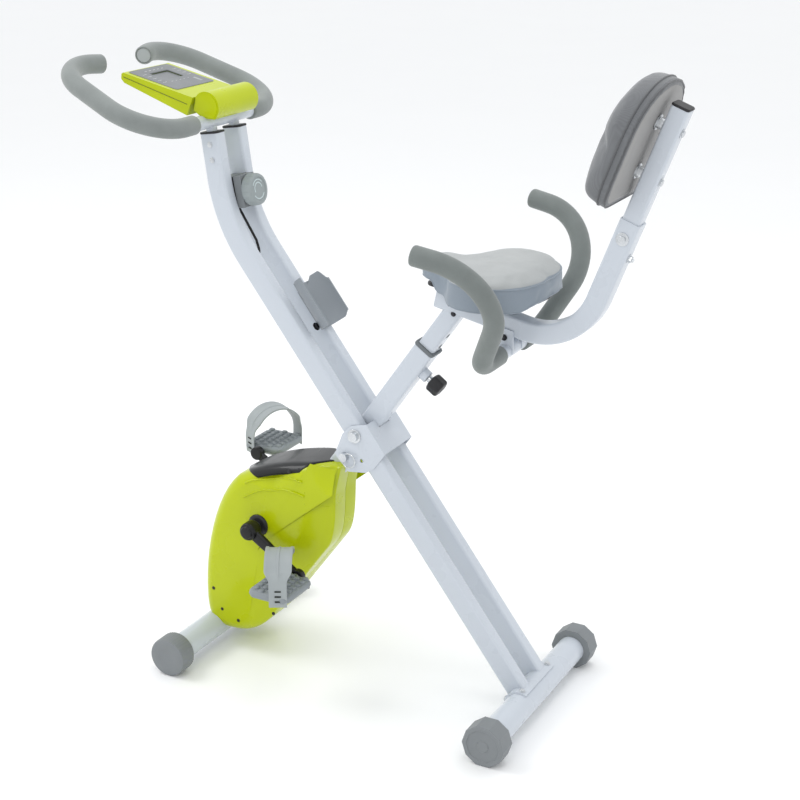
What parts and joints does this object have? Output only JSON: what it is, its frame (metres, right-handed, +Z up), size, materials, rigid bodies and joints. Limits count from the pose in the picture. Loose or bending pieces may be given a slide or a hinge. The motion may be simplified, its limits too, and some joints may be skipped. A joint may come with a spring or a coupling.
{
  "type": "exercise bike",
  "caption": "Folding upright exercise bike with crossed frames, a height-adjustable seat, a backrest, handlebar, pedals and an enclosed flywheel.",
  "frame": {"origin": "middle of the footprint box, on the floor", "axes": "+X to the rider's left, -Y forward, +Z up"},
  "size_m": [0.4838, 1.087, 1.1461],
  "materials": {
    "white_paint": "gloss powder coat",
    "green_shell": "glossy injection moulding",
    "black_gloss": "glossy",
    "black_plastic": "satin moulding",
    "grey_plastic": "fine-grained moulding",
    "dark_grey_plastic": "fine-grained moulding",
    "pale_grey_plastic": "satin moulding",
    "foam": "closed-cell foam skin",
    "vinyl": "soft embossed vinyl over foam",
    "backrest_fabric": "coated fabric over foam",
    "steel": "zinc plated",
    "black_metal": "black semi-gloss coat",
    "cast_iron": "machined rim",
    "rubber": "satin",
    "screen": "clear polished lens"
  },
  "bodies": {
    "rear_frame": {"left_upright": "white_paint", "right_upright": "white_paint", "pivot_bracket": "white_paint", "pivot_bolt": "steel", "rear_stabiliser": "white_paint", "rear_saddle": "white_paint", "rear_cap_left": "grey_plastic", "rear_cap_right": "grey_plastic", "handlebar": "white_paint", "handlebar_grip_left": "foam", "handlebar_grip_right": "foam", "console_shell": "green_shell", "console_faceplate": "dark_grey_plastic", "console_screen": "screen", "console_cover": "green_shell", "knob_base": "dark_grey_plastic", "brake_cable_upper": "rubber", "bottle_holder": "grey_plastic"},
    "mode_button": {"mode_button": "pale_grey_plastic"},
    "tension_knob": {"tension_knob": "grey_plastic"},
    "fold_pin": {"fold_pin": "steel"},
    "front_frame": {"main_tube": "white_paint", "seat_collar": "dark_grey_plastic", "seat_pin_boss": "white_paint", "front_stabiliser": "white_paint", "front_saddle": "white_paint", "housing_left": "green_shell", "housing_right": "green_shell", "housing_cover": "black_gloss", "bottom_bracket": "white_paint", "drive_belt": "rubber", "brake_cable_lower": "rubber"},
    "seat_pin": {"seat_pin_knob": "black_plastic"},
    "roller_left": {"roller_left": "grey_plastic"},
    "roller_right": {"roller_right": "grey_plastic"},
    "seat": {"seat_post": "white_paint", "seat_bracket_tube": "white_paint", "backrest_tube": "white_paint", "backrest_plug": "black_plastic", "backrest_board": "pale_grey_plastic", "backrest_pad": "backrest_fabric", "seat_pan": "black_plastic", "seat_cushion": "vinyl", "seat_handle": "white_paint", "seat_grip_left": "foam", "seat_grip_right": "foam"},
    "crankset": {"crank_axle": "steel", "drive_pulley": "black_plastic", "crank_left": "black_metal", "crank_right": "black_metal", "pedal_spindle_left": "steel", "pedal_spindle_right": "steel"},
    "left_pedal": {"pedal_left": "grey_plastic", "toe_strap_left": "pale_grey_plastic"},
    "right_pedal": {"pedal_right": "grey_plastic", "toe_strap_right": "pale_grey_plastic"},
    "flywheel": {"flywheel": "cast_iron"},
    "brake_arm": {"brake_arm": "black_metal"}
  },
  "joints": [
    {"name": "frame_fold", "type": "hinge", "parent": "rear_frame", "child": "front_frame", "pos_m": [0, -0.01846, 0.48], "axis": [1, 0, 0], "range_deg": [0, 43]},
    {"name": "seat_height", "type": "slide", "parent": "front_frame", "child": "seat", "axis": [0, 0.5771, 0.8167], "range_m": [-0.07, 0.05]},
    {"name": "seat_pin_pull", "type": "slide", "parent": "front_frame", "child": "seat_pin", "axis": [0, 0.8167, -0.5771], "range_m": [0, 0.01], "stiffness_N_per_m": 800, "springref_m": -0.004},
    {"name": "crank_spin", "type": "hinge", "parent": "front_frame", "child": "crankset", "pos_m": [0, -0.21646, 0.273], "axis": [1, 0, 0], "continuous": true},
    {"name": "left_pedal_spin", "type": "hinge", "parent": "crankset", "child": "left_pedal", "pos_m": [0, -0.11616, 0.20355], "axis": [1, 0, 0], "continuous": true},
    {"name": "right_pedal_spin", "type": "hinge", "parent": "crankset", "child": "right_pedal", "pos_m": [0, -0.31676, 0.34245], "axis": [1, 0, 0], "continuous": true},
    {"name": "flywheel_spin", "type": "hinge", "parent": "front_frame", "child": "flywheel", "pos_m": [0, -0.24846, 0.148], "axis": [1, 0, 0], "continuous": true},
    {"name": "tension_knob_turn", "type": "hinge", "parent": "rear_frame", "child": "tension_knob", "pos_m": [0, -0.28896, 0.879], "axis": [0, 0.9848, 0.1736], "range_deg": [0, 270]},
    {"name": "brake_arm_swing", "type": "hinge", "parent": "front_frame", "child": "brake_arm", "pos_m": [0, -0.19566, 0.2293], "axis": [-1, 0, 0], "range_deg": [0, 6]},
    {"name": "fold_pin_pull", "type": "slide", "parent": "rear_frame", "child": "fold_pin", "axis": [1, 0, 0], "range_m": [0, 0.012], "stiffness_N_per_m": 600, "springref_m": -0.004},
    {"name": "mode_button_press", "type": "slide", "parent": "rear_frame", "child": "mode_button", "axis": [0, -0.2164, -0.9763], "range_m": [0, 0.0015], "stiffness_N_per_m": 350, "springref_m": -0.001},
    {"name": "roller_left_spin", "type": "hinge", "parent": "front_frame", "child": "roller_left", "pos_m": [0, -0.33146, 0.037], "axis": [1, 0, 0], "continuous": true},
    {"name": "roller_right_spin", "type": "hinge", "parent": "front_frame", "child": "roller_right", "pos_m": [0, -0.33146, 0.037], "axis": [1, 0, 0], "continuous": true}
  ],
  "couplings": [
    {"joint": "flywheel_spin", "follows": "crank_spin", "ratio": 4.875},
    {"joint": "brake_arm_swing", "follows": "tension_knob_turn", "ratio": 0.022222}
  ]
}
